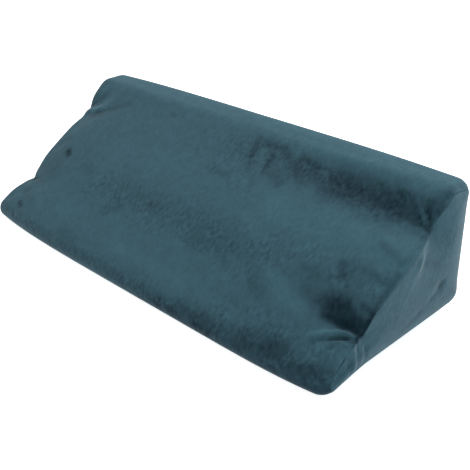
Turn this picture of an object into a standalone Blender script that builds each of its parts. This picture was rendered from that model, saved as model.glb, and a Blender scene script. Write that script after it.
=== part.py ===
"""Wedge pillow: a foam wedge in a velvet cover, lying on its base.

The cover is cut as one wrap panel, which goes round slope, ridge, back and base, and two end panels that are
sewn to its edges. The wrap with what it holds is one filled solid, and each end panel is a cloth of its own.
Metres, +Z up, +X along the pillow's length, the low toe at -Y and the upright back at +Y.
"""

import math

import bmesh
import bpy
import numpy as np
from mathutils.geometry import delaunay_2d_cdt

# Driving sizes of the whole pillow, and the radii of its section's four corners.
LENGTH = 0.608
DEPTH = 0.2675
HEIGHT = 0.168
TOE_RADIUS = 0.015
HEEL_RADIUS = 0.031
RIDGE_RADIUS = 0.021
RIDGE_FLAT = 0.020
BACK_LEAN = 0.015

# The toe runs nearly straight and draws back towards the two ends. It begins this far in front of the middle.
TOE_START = DEPTH / 4
TOE_DRAW_COLUMNS = ("end", "draw", "power")
TOE_DRAWS = (
    (-1, 0.0115, 4),
    (+1, 0.0100, 6),
)

# How the wrap rolls over towards its seams: the radius at some places round the section, at the left and the right
# end. The places on the base and the slope lie this far from the toe, and those on the back from its ends.
BASE_PLACE = 0.060
SLOPE_PLACE = 0.070
BACK_MARGIN = 0.010
ROLL_COLUMNS = ("place", "left", "right")
ROLLS = (
    ("toe", 0.0063, 0.0170),
    ("base", 0.0300, 0.0320),
    ("heel", 0.0340, 0.0385),
    ("back low", 0.0310, 0.0405),
    ("back high", 0.0270, 0.0272),
    ("ridge back", 0.0176, 0.0210),
    ("ridge front", 0.0202, 0.0070),
    ("slope", 0.0150, 0.0042),
)
ROLL_ANGLE = math.radians(60)

# The velvet of an end panel, the gap that it keeps to the wrap, and how it swells out of its seam.
CLOTH = 0.0024
RIM_GAP = 0.00050
BACK_GAP = 0.00060
PANEL_CROWN = 0.0020
PANEL_ROLL_REACH = 0.010
PANEL_DRAW_REACH = 0.030
PANEL_EVENING = 0.6

# How far the filling swells each face, at the middle of the face.
SLOPE_CROWN = 0.0045
BACK_CROWN = 0.0040
RIDGE_CROWN = 0.0038

# Where the thread draws the seam in. "up" is the distance up the slope from the toe. A pinch widens inwards. It
# is a notch at bluntness 1, and a round dent at 2.
PINCH_WIDENING = 0.2
PINCH_COLUMNS = ("end", "up", "sink", "draw", "half_width", "reach", "bluntness")
PINCHES = (
    (-1, 0.181, 0.0091, 0.0031, 0.0198, 0.036, 1.25),
    (-1, 0.060, 0.0071, 0.0057, 0.0268, 0.030, 2.1),
    (+1, 0.199, 0.0035, 0.0094, 0.0198, 0.045, 2.0),
    (+1, 0.061, 0.0080, 0.0037, 0.0087, 0.028, 2.0),
)

# The waist of each end: how far it is drawn in along the length, how far the slope falls there, how far this
# reaches along the length, and where its middle lies up the slope.
WAIST_COLUMNS = ("end", "draw", "fall", "reach", "middle", "half_width")
WAISTS = (
    (-1, 0.0102, 0.0017, 0.080, 0.121, 0.074),
    (+1, -0.0036, 0.0015, 0.080, 0.162, 0.060),
    (+1, 0.0052, 0.0018, 0.050, 0.012, 0.031),
)

# Long soft hollows and folds on the slope: a route of (x, up) points, the height at its start, how much of
# that height is left at its end, and the half width, which widens along it. A hollow has a negative height.
CREASE_WIDENING = 0.6
CREASE_COLUMNS = ("route", "height", "end_share", "half_width")
CREASES = (
    (((0.304, 0.194), (0.255, 0.204), (0.168, 0.214), (0.070, 0.224), (-0.010, 0.230)), -0.0085, 0.05, 0.020),
    (((-0.300, 0.193), (-0.262, 0.205), (-0.200, 0.209)), -0.0050, 0.10, 0.012),
    (((-0.296, 0.183), (-0.262, 0.192), (-0.243, 0.212), (-0.220, 0.232)), 0.0040, 0.10, 0.007),
    (((0.303, 0.066), (0.278, 0.067), (0.252, 0.074), (0.230, 0.084)), -0.0040, 0.10, 0.011),
    (((0.303, 0.058), (0.289, 0.055), (0.273, 0.050), (0.260, 0.040)), 0.0040, 0.20, 0.0045),
    (((0.303, 0.052), (0.288, 0.049), (0.274, 0.041), (0.264, 0.030)), -0.0030, 0.20, 0.0045),
    (((0.300, 0.043), (0.291, 0.030), (0.283, 0.015)), 0.0022, 0.30, 0.006),
    (((-0.300, 0.060), (-0.262, 0.058), (-0.240, 0.052)), -0.0045, 0.10, 0.006),
)

# Folds and dents on the right end panel: a route of (y, z) points, and the same columns.
PANEL_CREASES = (
    (((0.024, 0.112), (0.014, 0.100), (0.006, 0.083), (0.002, 0.060)), 0.0022, 0.20, 0.006),
    (((0.060, 0.056), (0.042, 0.048), (0.017, 0.038)), -0.0016, 0.20, 0.006),
)

# Spacing of the mesh: round the section, along the length, and over an end panel.
OUTLINE_STEP = 0.0004
SECTION_SPACING = 0.0115
CORNER_SPACING = 0.0062
CORNER_MARGIN = 0.008
PINCH_SPACING = 0.0040
PINCH_SPACING_REACH = 0.019
ROLL_RINGS = 4
RING_SPACING_AT_END = 0.0045
RING_SPACING_GROWTH = 0.24
RING_SPACING_MOST = 0.048
PANEL_ROWS = ((0.005, 1), (0.012, 2))
PANEL_GRID = 0.017
CLOSEST_POINTS = 0.0035

VELVET = (0.247, 0.357, 0.400)


def clear_scene():
    for obj in list(bpy.data.objects):
        bpy.data.objects.remove(obj, do_unlink=True)


def rows(columns, table):
    """The rows of a table as dictionaries, by column name."""
    return [dict(zip(columns, row)) for row in table]


def section_circles():
    """The section's corner circles (y, z, radius): toe, heel, back of the ridge, front of the ridge."""
    ridge_y = DEPTH / 2 - BACK_LEAN - RIDGE_RADIUS
    ridge_z = HEIGHT - RIDGE_RADIUS
    return (
        (-DEPTH / 2 + TOE_RADIUS, TOE_RADIUS, TOE_RADIUS),
        (DEPTH / 2 - HEEL_RADIUS, HEEL_RADIUS, HEEL_RADIUS),
        (ridge_y, ridge_z, RIDGE_RADIUS),
        (ridge_y - RIDGE_FLAT, ridge_z, RIDGE_RADIUS),
    )


def belt(circles):
    """The outline of a belt round the circles, which starts where it leaves the first one. It returns the
    points, their outward angles, their distance along it, and for each circle where its arc starts and ends."""
    count = len(circles)
    angles = []
    for (ya, za, ra), (yb, zb, rb) in zip(circles, circles[1:] + circles[:1]):
        heading = math.atan2(zb - za, yb - ya)
        lean = math.asin((ra - rb) / math.hypot(yb - ya, zb - za))
        angles.append(heading - math.pi / 2 + lean)
    points, turns, arc_spans = [], [], [None] * count
    walked = 0.0
    for i in range(count):
        after = (i + 1) % count
        ya, za, ra = circles[i]
        yb, zb, rb = circles[after]
        outward = np.array([math.cos(angles[i]), math.sin(angles[i])])
        start = np.array([ya, za]) + ra * outward
        stop = np.array([yb, zb]) + rb * outward
        run = float(np.linalg.norm(stop - start))
        shares = np.arange(0.0, run, OUTLINE_STEP)[:, None] / run
        points.append(start + shares * (stop - start))
        turns.append(np.full(len(shares), angles[i]))
        walked += run
        turn = (angles[after] - angles[i]) % (2 * math.pi)
        sweep = angles[i] + np.arange(0.0, turn, OUTLINE_STEP / rb)
        points.append(np.array([yb, zb]) + rb * np.stack([np.cos(sweep), np.sin(sweep)], 1))
        turns.append(sweep)
        arc_spans[after] = (walked, walked + turn * rb)
        walked += turn * rb
    points = np.concatenate(points)
    closed = np.vstack([points, points[:1]])
    along = np.concatenate([[0.0], np.cumsum(np.linalg.norm(np.diff(closed, axis=0), axis=1))])
    return points, np.unwrap(np.concatenate(turns)), along, arc_spans


def spaced(length, spacing):
    """Places from 0 to length, such that their distance follows the function spacing."""
    fine = np.arange(0.0, length + OUTLINE_STEP / 2, OUTLINE_STEP)
    density = 1.0 / spacing(fine)
    filled = np.concatenate([[0.0], np.cumsum((density[1:] + density[:-1]) / 2 * np.diff(fine))])
    count = math.ceil(filled[-1])
    return np.interp(np.linspace(0.0, filled[-1], count + 1), filled, fine)


def bump(distance, half_width, bluntness=2.0):
    return np.exp(-(np.abs(distance / half_width) ** bluntness))


def smooth_step(share):
    share = np.clip(share, 0.0, 1.0)
    return share * share * (3 - 2 * share)


class Section:
    """The wrap's section: for each point its place, outward normal, distance up the slope from the toe,
    swell, share of the toe, and radius of the roll at either end."""

    def __init__(self):
        points, turns, along, spans = belt(section_circles())
        slope_foot = spans[0][0]

        def spacing(place):
            size = np.full_like(place, SECTION_SPACING)
            for start, stop in spans:
                entered = smooth_step((place - start) / CORNER_MARGIN + 1)
                inside = entered * smooth_step((stop - place) / CORNER_MARGIN + 1)
                size = size + (CORNER_SPACING - size) * inside
            for pinch in rows(PINCH_COLUMNS, PINCHES):
                near = bump(place - (slope_foot - pinch["up"]), PINCH_SPACING_REACH)
                size = size + (PINCH_SPACING - size) * near
            return size

        places = spaced(along[-1], spacing)[:-1]
        self.along = places
        self.up = slope_foot - places
        self.y = np.interp(places, along[:-1], points[:, 0])
        self.z = np.interp(places, along[:-1], points[:, 1])
        turn = np.interp(places, along[:-1], turns)
        self.out = np.stack([np.cos(turn), np.sin(turn)], 1)
        self.crown = self._crown(spans)
        self.toe = smooth_step((-self.y - TOE_START) / (DEPTH / 2 - TOE_START))
        stations = {
            "toe": sum(spans[0]) / 2,
            "base": BASE_PLACE,
            "heel": sum(spans[1]) / 2,
            "back low": spans[1][1] + BACK_MARGIN,
            "back high": spans[2][0] - BACK_MARGIN,
            "ridge back": sum(spans[2]) / 2,
            "ridge front": sum(spans[3]) / 2,
            "slope": slope_foot - SLOPE_PLACE,
        }
        rolls = rows(ROLL_COLUMNS, ROLLS)
        known = [stations[roll["place"]] for roll in rolls]
        self.roll = {
            end: np.interp(places, known, [roll[side] for roll in rolls], period=along[-1])
            for end, side in ((-1, "left"), (1, "right"))
        }

    def _crown(self, spans):
        """How far the filling swells each point out: a half wave over slope, ridge and back."""
        faces = (
            (spans[1][1], spans[2][0], BACK_CROWN),
            (spans[2][0], spans[3][1], RIDGE_CROWN),
            (spans[3][1], spans[0][0], SLOPE_CROWN),
        )
        crown = np.zeros(len(self.along))
        for start, stop, height in faces:
            share = np.clip((self.along - start) / (stop - start), 0.0, 1.0)
            crown += height * np.sin(math.pi * share) ** 2
        return crown


def crease_height(x, up, creases):
    """The height of all creases at the given places. Each has a bell section round its route."""
    height = np.zeros(np.broadcast(x, up).shape)
    for crease in rows(CREASE_COLUMNS, creases):
        route = np.array(crease["route"])
        steps = np.diff(route, axis=0)
        sizes = np.linalg.norm(steps, axis=1)
        walked = np.concatenate([[0.0], np.cumsum(sizes)])
        nearest = np.full(height.shape, np.inf)
        share = np.zeros(height.shape)
        for start, step, size, before in zip(route, steps, sizes, walked):
            t = np.clip(((x - start[0]) * step[0] + (up - start[1]) * step[1]) / size**2, 0.0, 1.0)
            away = np.hypot(x - start[0] - t * step[0], up - start[1] - t * step[1])
            closer = away < nearest
            nearest = np.where(closer, away, nearest)
            share = np.where(closer, (before + t * size) / walked[-1], share)
        width = crease["half_width"] * (1 + CREASE_WIDENING * share)
        fade = 1 + (crease["end_share"] - 1) * smooth_step(share)
        height += crease["height"] * fade * bump(nearest, width)
    return height


def wrap_ring(section, x_share, roll_share):
    """One ring of the wrap. x_share runs from -1 to 1 over the straight length, and roll_share from 0 to 1
    over the roll at that end, whose last ring is the seam."""
    end = 1 if x_share > 0 else -1
    angle = ROLL_ANGLE * roll_share
    end_x = LENGTH / 2 - PANEL_CROWN
    roll = section.roll[end]
    x = x_share * (end_x - roll) + end * roll * math.sin(angle)
    from_end = np.clip(end_x - np.abs(x), 0.0, None)
    inset = roll * (1 - math.cos(angle))

    out = section.crown * (1 - x_share**4) - inset + crease_height(x, section.up, CREASES)
    draw = np.zeros(len(x))
    toe_back = np.zeros(len(x))
    for pinch in rows(PINCH_COLUMNS, PINCHES):
        if pinch["end"] == end:
            width = pinch["half_width"] + PINCH_WIDENING * from_end
            share = bump(section.up - pinch["up"], width, pinch["bluntness"]) * bump(from_end, pinch["reach"])
            draw += pinch["draw"] * share
            out -= pinch["sink"] * share
    for waist in rows(WAIST_COLUMNS, WAISTS):
        if waist["end"] == end:
            share = bump(section.up - waist["middle"], waist["half_width"]) * bump(from_end, waist["reach"])
            draw += waist["draw"] * share
            out -= waist["fall"] * share
    for toe in rows(TOE_DRAW_COLUMNS, TOE_DRAWS):
        if toe["end"] == end:
            toe_back += toe["draw"] * section.toe * (np.abs(x) / end_x) ** toe["power"]
    y = section.y + section.out[:, 0] * out + toe_back
    z = section.z + section.out[:, 1] * out
    return np.stack([x - end * draw, y, z], 1)


def wrap_rings(section):
    """All rings of the wrap, from the left seam to the right one."""
    half = LENGTH / 2

    def spacing(place):
        away = np.minimum(place, LENGTH - place)
        return np.minimum(RING_SPACING_AT_END + RING_SPACING_GROWTH * away, RING_SPACING_MOST)

    shares = (spaced(LENGTH, spacing) - half) / half
    shares = shares[np.abs(shares) <= 1.0]
    rolls = np.linspace(1.0, 0.0, ROLL_RINGS + 1)[:-1]
    rings = [wrap_ring(section, -1.0, roll) for roll in rolls]
    rings += [wrap_ring(section, share, 0.0) for share in shares]
    rings += [wrap_ring(section, 1.0, roll) for roll in rolls[::-1]]
    return rings


def inward(ring):
    """The direction across a ring, in the YZ plane, from its edge towards its middle."""
    tangent = np.roll(ring, -1, axis=0)[:, 1:] - np.roll(ring, 1, axis=0)[:, 1:]
    tangent /= np.linalg.norm(tangent, axis=1)[:, None]
    return np.stack([np.zeros(len(ring)), -tangent[:, 1], tangent[:, 0]], 1)


def rim_distance(points, rim):
    """The distance of each point from the rim, seen along the length."""
    a = rim[:, 1:]
    b = np.roll(a, -1, axis=0)
    edge = b - a
    offset = points[:, None, 1:] - a[None]
    t = np.clip((offset * edge).sum(2) / (edge**2).sum(1), 0.0, 1.0)
    return np.linalg.norm(offset - t[:, :, None] * edge, axis=2).min(1)


def is_inside(points, rim):
    """Whether each point lies inside the rim, seen along the length: a line from it then crosses the rim an
    odd number of times."""
    a = rim[None, :, 1:]
    b = np.roll(rim, -1, axis=0)[None, :, 1:]
    y, z = points[:, None, 1], points[:, None, 2]
    spans = (a[..., 1] > z) != (b[..., 1] > z)
    run = np.where(spans, b[..., 1] - a[..., 1], 1.0)
    crossing = a[..., 0] + (z - a[..., 1]) * (b[..., 0] - a[..., 0]) / run
    return (spans & (y < crossing)).sum(1) % 2 == 1


def panel_net(rim):
    """The net of an end's cloth, seen along the length: the rim's points, rows of points that follow the
    rim, a triangular grid between them, and the triangles that join them all."""
    across = inward(rim)
    rows_in = [(rim[::step] + offset * across[::step], 0.85 * offset) for offset, step in PANEL_ROWS]
    low, high = rim.min(0), rim.max(0)
    heights = np.arange(low[2], high[2], PANEL_GRID * math.sqrt(0.75))
    places = np.arange(low[1], high[1], PANEL_GRID)
    shifts = (np.arange(len(heights)) % 2) * PANEL_GRID / 2
    y = places[None, :] + shifts[:, None]
    grid = np.stack([np.zeros(y.shape), y, np.broadcast_to(heights[:, None], y.shape)], 2).reshape(-1, 3)
    rows_in.append((grid, PANEL_ROWS[-1][0] + PANEL_GRID / 2))

    net = list(rim)
    for row, clearance in rows_in:
        for point in row[is_inside(row, rim) & (rim_distance(row, rim) > clearance)]:
            if min(math.hypot(*(point - other)[1:]) for other in net) > CLOSEST_POINTS:
                net.append(point)
    net = np.array(net)
    outline = [list(range(len(rim)))]
    _, _, faces, origins, _, _ = delaunay_2d_cdt(net[:, 1:].tolist(), [], outline, 1, 1e-7)
    triangles = np.array([[origins[corner][0] for corner in face] for face in faces])
    return net, triangles


def end_cloth(net, rim, roll_left, end, creases):
    """Lifts the net of an end to its cloth. The cloth goes on with what is left of the wrap's roll, evens out
    what the seam is drawn in, and levels out into a low crown. The rim's own points stay on the seam."""
    away = rim_distance(net, rim)
    apart = np.linalg.norm(net[:, None, 1:] - rim[None, :, 1:], axis=2)
    share = np.exp((away[:, None] ** 2 - apart**2) / (PANEL_EVENING * away[:, None] + CLOTH) ** 2)
    share /= share.sum(1)[:, None]
    short = LENGTH / 2 - PANEL_CROWN - np.abs(rim[:, 0])
    roll = share @ roll_left * np.exp(-away / PANEL_ROLL_REACH)
    draw = share @ (short - roll_left) * np.exp(-away / PANEL_DRAW_REACH)
    crown = PANEL_CROWN * np.sin(math.pi / 2 * away / away.max())
    fold = crease_height(net[:, 1], net[:, 2], creases)
    cloth = net.copy()
    cloth[:, 0] = end * (LENGTH / 2 - PANEL_CROWN - roll - draw + crown + fold)
    cloth[: len(rim), 0] = rim[:, 0]
    return cloth


def strip(near, far):
    """The triangles between two closed loops of vertex numbers."""
    near_next, far_next = np.roll(near, -1), np.roll(far, -1)
    return np.concatenate([np.stack([near, near_next, far_next], 1), np.stack([near, far_next, far], 1)])


def solid(name, points, triangles, material):
    """A closed mesh from points and triangles, with its faces turned outwards."""
    mesh = bpy.data.meshes.new(name)
    mesh.from_pydata(np.concatenate(points).tolist(), [], np.concatenate(triangles).tolist())
    bm = bmesh.new()
    bm.from_mesh(mesh)
    bmesh.ops.recalc_face_normals(bm, faces=bm.faces)
    bm.to_mesh(mesh)
    bm.free()
    mesh.shade_smooth()
    mesh.materials.append(material)
    obj = bpy.data.objects.new(name, mesh)
    bpy.context.scene.collection.objects.link(obj)
    return obj


def make_end_panel(name, end, rim_count, cloth, net_triangles, material):
    """An end panel: a cloth sheet that lies in the wrap's mouth, within its seam."""
    inner = cloth - np.array([end * CLOTH, 0.0, 0.0])
    loop = np.arange(rim_count)
    triangles = [net_triangles, net_triangles + len(cloth), strip(loop, loop + len(cloth))]
    return solid(name, [cloth, inner], triangles, material)


def make_cushion(name, rings, cloths, nets, material):
    """The filled wrap: its rings from seam to seam, and in each mouth a shallow pocket for the end panel."""
    loop = np.arange(len(rings[0]))
    points = list(rings)
    triangles = [strip(loop + k * len(loop), loop + (k + 1) * len(loop)) for k in range(len(rings) - 1)]
    count = len(loop) * len(rings)
    for end, seam, cloth, net in zip((-1, 1), (0, len(rings) - 1), cloths, nets):
        drop = np.array([end * (CLOTH + BACK_GAP), 0.0, 0.0])
        points += [rings[seam] - drop, cloth - drop]
        wall, floor = loop + count, loop + count + len(loop)
        triangles += [strip(loop + seam * len(loop), wall), strip(wall, floor), net + count + len(loop)]
        count += len(loop) + len(cloth)
    return solid(name, points, triangles, material)


def velvet_material():
    """Short-pile velvet: dull, with a soft sheen. Its colour is turned from sRGB to linear."""
    material = bpy.data.materials.new("petrol velvet")
    material.use_nodes = True
    shader = material.node_tree.nodes["Principled BSDF"]
    linear = [((c + 0.055) / 1.055) ** 2.4 for c in VELVET]
    shader.inputs["Base Color"].default_value = (*linear, 1.0)
    shader.inputs["Roughness"].default_value = 0.95
    shader.inputs["Metallic"].default_value = 0.0
    shader.inputs["Sheen Weight"].default_value = 0.6
    return material


def stand_on_origin(objects):
    """Moves the meshes so that the pillow's box is centred on X and Y and stands on Z = 0."""
    points = np.array([vertex.co for obj in objects for vertex in obj.data.vertices])
    low, high = points.min(0), points.max(0)
    shift = np.array([-(low[0] + high[0]) / 2, -(low[1] + high[1]) / 2, -low[2]])
    for obj in objects:
        for vertex in obj.data.vertices:
            vertex.co = np.array(vertex.co) + shift
        obj.data.update()


def main():
    clear_scene()
    velvet = velvet_material()
    section = Section()
    rings = wrap_rings(section)
    cloths, nets = [], []
    for seam, end, creases in ((rings[0], -1, ()), (rings[-1], 1, PANEL_CREASES)):
        rim = seam + RIM_GAP * inward(seam)
        net, triangles = panel_net(rim)
        roll_left = (1 - math.sin(ROLL_ANGLE)) * section.roll[end]
        cloths.append(end_cloth(net, rim, roll_left, end, creases))
        nets.append(triangles)
    objects = [make_cushion("cushion", rings, cloths, nets, velvet)]
    for side, end, cloth, triangles in zip(("left", "right"), (-1, 1), cloths, nets):
        objects.append(make_end_panel(f"end_panel_{side}", end, len(rings[0]), cloth, triangles, velvet))
    stand_on_origin(objects)


main()
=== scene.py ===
"""Wedge pillow: a foam wedge in a petrol velvet cover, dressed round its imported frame.

From top to bottom: the camera, the wrap of the cover with what it holds, the two end panels, the floor
and the light. Metres, +Z up, +X along the pillow, the low toe at -Y and the upright back at +Y.
"""

import math

import bpy
import numpy as np
from mathutils import Matrix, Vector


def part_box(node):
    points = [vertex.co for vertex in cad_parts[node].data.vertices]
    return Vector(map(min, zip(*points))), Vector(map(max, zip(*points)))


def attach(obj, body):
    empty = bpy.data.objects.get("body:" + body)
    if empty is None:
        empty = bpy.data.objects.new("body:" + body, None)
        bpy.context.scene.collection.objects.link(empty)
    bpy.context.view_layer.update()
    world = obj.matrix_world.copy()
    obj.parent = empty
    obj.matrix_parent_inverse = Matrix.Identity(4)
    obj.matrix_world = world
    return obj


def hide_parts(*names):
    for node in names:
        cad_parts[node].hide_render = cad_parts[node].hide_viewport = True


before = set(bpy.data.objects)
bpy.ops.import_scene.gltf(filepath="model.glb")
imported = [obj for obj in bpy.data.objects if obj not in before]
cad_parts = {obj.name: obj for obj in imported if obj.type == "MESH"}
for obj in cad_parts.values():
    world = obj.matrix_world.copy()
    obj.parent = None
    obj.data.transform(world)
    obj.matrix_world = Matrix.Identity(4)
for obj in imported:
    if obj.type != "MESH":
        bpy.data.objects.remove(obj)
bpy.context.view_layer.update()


# The camera. It stands off the pillow's right front corner and looks down on it, and its focal length is
# that of the photograph's perspective, for a square picture on a 36 mm sensor.
CAMERA_PLACE = (0.67371, -0.62787, 0.49708)
CAMERA_AZIMUTH = math.radians(44.731)
CAMERA_ELEVATION = math.radians(26.674)
CAMERA_ROLL = math.radians(0.0625)
CAMERA_LENS_MM = 61.63
CAMERA_SENSOR_MM = 36.0


def camera_axes(azimuth, elevation, roll):
    """The camera's X, Y and Z as columns. Z points back from what it sees, and roll turns X and Y."""
    back = np.array([
        math.sin(azimuth) * math.cos(elevation),
        -math.cos(azimuth) * math.cos(elevation),
        math.sin(elevation),
    ])
    right = np.array([math.cos(azimuth), math.sin(azimuth), 0.0])
    up = np.cross(back, right)
    rolled_right = math.cos(roll) * right + math.sin(roll) * up
    rolled_up = math.cos(roll) * up - math.sin(roll) * right
    return np.stack([rolled_right, rolled_up, back], 1)


camera_data = bpy.data.cameras.new("camera")
camera_data.lens = CAMERA_LENS_MM
camera_data.sensor_width = CAMERA_SENSOR_MM
camera = bpy.data.objects.new("camera", camera_data)
camera_matrix = np.eye(4)
camera_matrix[:3, :3] = camera_axes(CAMERA_AZIMUTH, CAMERA_ELEVATION, CAMERA_ROLL)
camera_matrix[:3, 3] = CAMERA_PLACE
camera.matrix_world = Matrix(camera_matrix)
bpy.context.scene.collection.objects.link(camera)
bpy.context.scene.camera = camera


# The wrap. One length of short-pile velvet goes round slope, ridge, back and base of a foam wedge, and
# rolls over at both ends to the seams of the end panels. The thread of those seams pinches it in four
# places, and long soft folds run from there over the slope. The back and base are plain.
LENGTH = 0.608
DEPTH = 0.2675
HEIGHT = 0.168
TOE_RADIUS = 0.015
HEEL_RADIUS = 0.031
RIDGE_RADIUS = 0.021
RIDGE_FLAT = 0.020
BACK_LEAN = 0.015
SLOPE_CROWN = 0.0045
BACK_CROWN = 0.0040
RIDGE_CROWN = 0.0038
PANEL_CROWN = 0.0020
OUTLINE_STEP = 0.0004


def table(columns, rows):
    """Rows of values as dictionaries, by column name."""
    return [dict(zip(columns, row)) for row in rows]


# The toe draws back towards the two ends, by the given power of the share of the half length.
TOE_START = DEPTH / 4
TOE_DRAWS = table(("end", "draw", "power"), (
    (-1, 0.0115, 4),
    (+1, 0.0100, 6),
))

# The radius of the roll towards each seam, at some places round the section. Those on the base and the
# slope lie this far from the toe, and those on the back from its ends.
BASE_PLACE = 0.060
SLOPE_PLACE = 0.070
BACK_MARGIN = 0.010
ROLLS = table(("place", "left", "right"), (
    ("toe", 0.0063, 0.0170),
    ("base", 0.0300, 0.0320),
    ("heel", 0.0340, 0.0385),
    ("back low", 0.0310, 0.0405),
    ("back high", 0.0270, 0.0272),
    ("ridge back", 0.0176, 0.0210),
    ("ridge front", 0.0202, 0.0070),
    ("slope", 0.0150, 0.0042),
))
ROLL_ANGLE = math.radians(60)

# Where the thread draws the seam in, "up" the slope from the toe: a notch at bluntness 1, a round dent at
# 2. The waist is how far the rest of an end is drawn in.
PINCH_WIDENING = 0.2
PINCHES = table(("end", "up", "sink", "draw", "half_width", "reach", "bluntness"), (
    (-1, 0.181, 0.0091, 0.0031, 0.0198, 0.036, 1.25),
    (-1, 0.060, 0.0071, 0.0057, 0.0268, 0.030, 2.1),
    (+1, 0.199, 0.0035, 0.0094, 0.0198, 0.045, 2.0),
    (+1, 0.061, 0.0080, 0.0037, 0.0087, 0.028, 2.0),
))
WAISTS = table(("end", "draw", "fall", "reach", "middle", "half_width"), (
    (-1, 0.0102, 0.0017, 0.080, 0.121, 0.074),
    (+1, -0.0036, 0.0015, 0.080, 0.162, 0.060),
    (+1, 0.0052, 0.0018, 0.050, 0.012, 0.031),
))

# Folds and hollows on the slope, as routes of (x, up): the height at the start, which is below 0 for a
# hollow, the share of it that is left at the end, and the half width, which grows on the way.
FOLD_COLUMNS = ("route", "height", "end_share", "half_width")
FOLD_WIDENING = 0.6
MAIN_FOLDS = table(FOLD_COLUMNS, (
    (
        ((0.304, 0.194), (0.255, 0.204), (0.168, 0.214), (0.070, 0.224), (-0.010, 0.230)),
        -0.0085, 0.05, 0.020,
    ),
    (((-0.300, 0.193), (-0.262, 0.205), (-0.200, 0.209)), -0.0050, 0.10, 0.012),
    (((-0.296, 0.183), (-0.262, 0.192), (-0.243, 0.212), (-0.220, 0.232)), 0.0040, 0.10, 0.007),
    (((0.303, 0.066), (0.278, 0.067), (0.252, 0.074), (0.230, 0.084)), -0.0040, 0.10, 0.011),
    (((0.303, 0.058), (0.289, 0.055), (0.273, 0.050), (0.260, 0.040)), 0.0040, 0.20, 0.0045),
    (((0.303, 0.052), (0.288, 0.049), (0.274, 0.041), (0.264, 0.030)), -0.0030, 0.20, 0.0045),
    (((0.300, 0.043), (0.291, 0.030), (0.283, 0.015)), 0.0022, 0.30, 0.006),
    (((-0.300, 0.060), (-0.262, 0.058), (-0.240, 0.052)), -0.0045, 0.10, 0.006),
))
FINE_FOLDS = table(FOLD_COLUMNS, (
    (((0.296, 0.201), (0.287, 0.209), (0.272, 0.222)), 0.0022, 0.10, 0.0030),
    (((0.293, 0.192), (0.284, 0.192), (0.262, 0.190)), 0.0014, 0.10, 0.0045),
    (((0.294, 0.212), (0.290, 0.218), (0.284, 0.230)), -0.0012, 0.10, 0.0035),
    (((0.292, 0.0555), (0.286, 0.053), (0.272, 0.045), (0.256, 0.034)), 0.0024, 0.30, 0.0025),
    (((0.291, 0.0495), (0.286, 0.047), (0.272, 0.038), (0.258, 0.027)), -0.0027, 0.25, 0.0025),
    (((0.290, 0.042), (0.286, 0.039), (0.276, 0.031)), 0.0013, 0.25, 0.0026),
    (((0.290, 0.036), (0.287, 0.033), (0.280, 0.025)), -0.0014, 0.25, 0.0026),
    (((0.300, 0.066), (0.291, 0.075), (0.282, 0.090)), 0.0012, 0.10, 0.0030),
    (((-0.276, 0.184), (-0.262, 0.185), (-0.244, 0.190), (-0.216, 0.204)), -0.0022, 0.15, 0.0040),
    (((-0.278, 0.198), (-0.268, 0.206), (-0.258, 0.222)), 0.0012, 0.20, 0.0030),
    (((-0.282, 0.205), (-0.275, 0.212), (-0.268, 0.228)), -0.0014, 0.20, 0.0028),
    (((-0.284, 0.214), (-0.281, 0.220), (-0.278, 0.230)), 0.0010, 0.20, 0.0028),
    (((-0.290, 0.063), (-0.274, 0.066), (-0.256, 0.072)), 0.0010, 0.10, 0.0035),
    (((-0.290, 0.056), (-0.276, 0.049), (-0.262, 0.042)), 0.0009, 0.10, 0.0030),
))


def bell(distance, half_width, bluntness=2.0):
    """A bell curve: 1 at distance 0, 1/e at the half width. At bluntness 1 it has a sharp top."""
    return np.exp(-(np.abs(distance / half_width) ** bluntness))


def smooth_step(share):
    """0 below 0, 1 above 1, and 3s^2 - 2s^3 between."""
    share = np.clip(share, 0.0, 1.0)
    return share * share * (3 - 2 * share)


def strokes(x, up, folds, widening=FOLD_WIDENING, bluntness=2.0):
    """The summed height of all folds at (x, up). Each is its height, faded by a smooth step along its
    route, times a bell curve of the distance from the route, whose half width grows evenly along the
    route by the share that widening gives."""
    total = np.zeros(np.broadcast(x, up).shape)
    for fold in folds:
        route = np.array(fold["route"])
        steps = np.diff(route, axis=0)
        sizes = np.linalg.norm(steps, axis=1)
        walked = np.concatenate([[0.0], np.cumsum(sizes)])
        nearest = np.full(total.shape, np.inf)
        share = np.zeros(total.shape)
        for start, step, size, before in zip(route, steps, sizes, walked):
            t = np.clip(((x - start[0]) * step[0] + (up - start[1]) * step[1]) / size**2, 0.0, 1.0)
            away = np.hypot(x - start[0] - t * step[0], up - start[1] - t * step[1])
            share = np.where(away < nearest, (before + t * size) / walked[-1], share)
            nearest = np.minimum(away, nearest)
        fade = 1 + (fold["end_share"] - 1) * smooth_step(share)
        width = fold["half_width"] * (1 + widening * share)
        total += fold["height"] * fade * bell(nearest, width, bluntness)
    return total


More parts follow.
